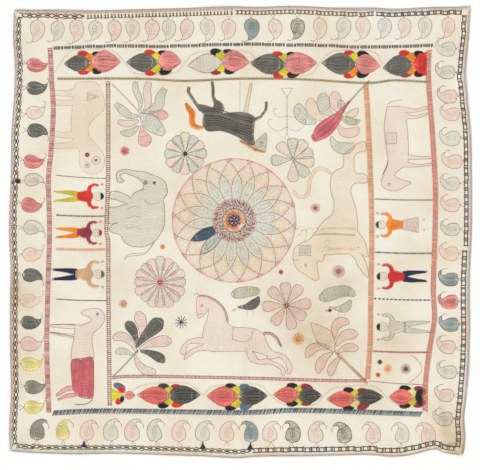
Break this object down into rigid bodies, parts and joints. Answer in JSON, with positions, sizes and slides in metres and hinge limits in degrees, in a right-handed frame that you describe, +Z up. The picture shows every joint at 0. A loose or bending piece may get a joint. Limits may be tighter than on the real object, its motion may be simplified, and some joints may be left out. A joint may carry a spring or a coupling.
{
  "type": "kantha quilt",
  "caption": "Square embroidered cotton quilt spread flat, one thin quilted sheet with a wavy hem, soft fold creases and a puckered corner.",
  "frame": {"origin": "on the resting surface, under the middle of the sheet's box", "axes": "+Z up out of the embroidered face, +X along the top hem to the right, +Y towards the top hem"},
  "size_m": [0.862, 0.8421, 0.0095],
  "materials": {
    "quilted_cotton": "matt worn off-white cotton, hand quilted and embroidered with coloured cotton thread"
  },
  "bodies": {
    "root": {"quilt_cloth": "quilted_cotton"}
  },
  "joints": []
}
